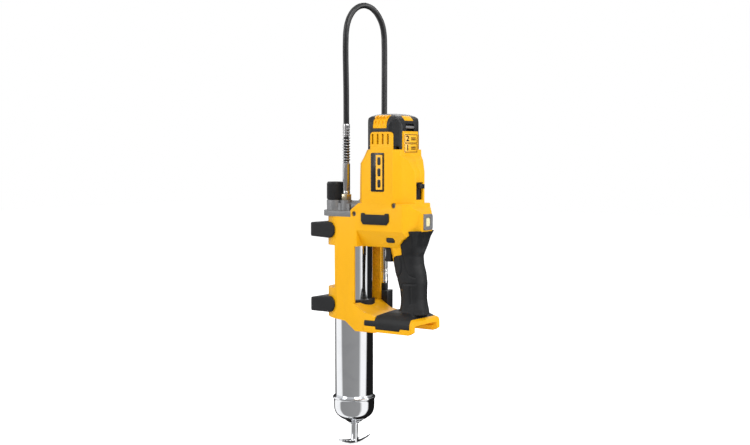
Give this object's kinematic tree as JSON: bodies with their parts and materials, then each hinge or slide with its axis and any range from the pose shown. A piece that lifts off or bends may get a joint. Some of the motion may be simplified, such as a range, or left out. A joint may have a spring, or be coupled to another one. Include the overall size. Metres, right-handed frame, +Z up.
{
  "type": "cordless grease gun",
  "caption": "Battery grease gun body with a motor tower, pistol grip, clamped grease barrel, pump head and a high-pressure hose looped to its coupler clip.",
  "frame": {"origin": "on the barrel axis at the pump head's seat face", "axes": "+Z up along the barrel, +X back towards the grip, +Y the side that carries the coupler clip"},
  "size_m": [0.1895, 0.1027, 0.6572],
  "materials": {
    "yellow_shell": "satin moulded yellow",
    "black_rubber": "matte overmould",
    "black_plastic": "fine textured",
    "label": "printed plate",
    "grey_plastic": "satin grey",
    "lens": "clear",
    "board": "circuit board",
    "dark_steel": "dark steel",
    "cast_metal": "die cast",
    "chrome": "bright plated",
    "steel": "ground steel",
    "brass": "plated brass",
    "copper": "copper windings",
    "hose_rubber": "smooth black hose"
  },
  "bodies": {
    "root": {"housing_left": "yellow_shell", "housing_right": "yellow_shell", "grip_rubber_left": "black_rubber", "grip_rubber_right": "black_rubber", "motor_cap": "black_plastic", "vent_inserts": "yellow_shell", "strap_bar": "grey_plastic", "side_pads": "black_rubber", "name_plates": "black_plastic", "speed_label": "label", "led_bezel": "grey_plastic", "led_lens": "lens", "upper_foot": "black_rubber", "lower_foot": "black_rubber", "switch_module": "black_plastic", "terminal_block": "black_plastic", "control_board": "board", "housing_screws": "dark_steel", "pump_head": "cast_metal", "head_gasket": "black_rubber", "guide_ring": "black_rubber", "hose_nut": "brass", "check_spring": "steel", "hose_ferrules": "dark_steel", "hose_coils": "steel", "hose_sleeves": "dark_steel", "hose": "hose_rubber", "coupler_body": "steel", "coupler_jaws": "dark_steel", "coupler_collar": "chrome", "coupler_grip": "black_plastic", "coupler_holder": "black_plastic", "motor_can": "dark_steel", "bearings": "steel", "gear_case": "cast_metal", "ring_gear": "steel"},
    "trigger": {"trigger": "black_plastic"},
    "lock_button": {"lock_button": "black_plastic"},
    "speed_selector": {"speed_selector": "black_plastic"},
    "barrel": {"barrel": "chrome", "end_cap": "chrome", "rod_bushing": "brass", "follower_spring": "steel"},
    "rod": {"follower_rod": "steel", "pull_handle": "chrome", "follower_cup": "black_rubber", "follower_plate": "steel"},
    "bleed_knob": {"bleed_knob": "black_plastic"},
    "rotor": {"rotor": "copper", "cooling_fan": "black_plastic", "sun_pinion": "steel"},
    "carrier": {"planet_carrier": "steel", "crank_disc": "steel"},
    "planet_1": {"planet_gear_1": "steel"},
    "planet_2": {"planet_gear_2": "steel"},
    "planet_3": {"planet_gear_3": "steel"},
    "plunger": {"pump_plunger": "steel", "crank_yoke": "steel", "crank_pin": "steel"},
    "check_ball": {"check_ball": "steel"}
  },
  "joints": [
    {"name": "trigger_pull", "type": "slide", "parent": "root", "child": "trigger", "axis": [1, 0, 0], "range_m": [0, 0.006], "stiffness_N_per_m": 600, "springref_m": -0.004},
    {"name": "lock_off_push", "type": "slide", "parent": "root", "child": "lock_button", "axis": [0, 1, 0], "range_m": [-0.003, 0.003]},
    {"name": "speed_select", "type": "slide", "parent": "root", "child": "speed_selector", "axis": [0, 0, -1], "range_m": [0, 0.012]},
    {"name": "barrel_withdraw", "type": "slide", "parent": "root", "child": "barrel", "axis": [0, 0, -1], "range_m": [0, 0.28]},
    {"name": "rod_pull", "type": "slide", "parent": "barrel", "child": "rod", "axis": [0, 0, -1], "range_m": [0, 0.205], "stiffness_N_per_m": 250, "springref_m": -0.04, "deforming": ["follower_spring"]},
    {"name": "bleed_turn", "type": "hinge", "parent": "root", "child": "bleed_knob", "pos_m": [-0.0314, -0.005, 0.035], "axis": [0, 0, 1], "range_deg": [0, 360]},
    {"name": "rotor_spin", "type": "hinge", "parent": "root", "child": "rotor", "pos_m": [0.07, 0, 0.09], "axis": [0, 0, 1], "continuous": true},
    {"name": "carrier_spin", "type": "hinge", "parent": "root", "child": "carrier", "pos_m": [0.07, 0, 0.04], "axis": [0, 0, 1], "continuous": true},
    {"name": "planet_1_spin", "type": "hinge", "parent": "carrier", "child": "planet_1", "pos_m": [0.0835, 0, 0.052], "axis": [0, 0, 1], "continuous": true},
    {"name": "planet_2_spin", "type": "hinge", "parent": "carrier", "child": "planet_2", "pos_m": [0.06325, 0.01169, 0.052], "axis": [0, 0, 1], "continuous": true},
    {"name": "planet_3_spin", "type": "hinge", "parent": "carrier", "child": "planet_3", "pos_m": [0.06325, -0.01169, 0.052], "axis": [0, 0, 1], "continuous": true},
    {"name": "pump_stroke", "type": "slide", "parent": "root", "child": "plunger", "axis": [-1, 0, 0], "range_m": [0, 0.01]},
    {"name": "check_ball_lift", "type": "slide", "parent": "root", "child": "check_ball", "axis": [0, 0, 1], "range_m": [0, 0.0012], "stiffness_N_per_m": 100, "springref_m": -0.002, "deforming": ["check_spring"]}
  ],
  "couplings": [
    {"joint": "carrier_spin", "follows": "rotor_spin", "ratio": 0.22222},
    {"joint": "planet_1_spin", "follows": "rotor_spin", "ratio": -0.62222},
    {"joint": "planet_2_spin", "follows": "rotor_spin", "ratio": -0.62222},
    {"joint": "planet_3_spin", "follows": "rotor_spin", "ratio": -0.62222}
  ]
}
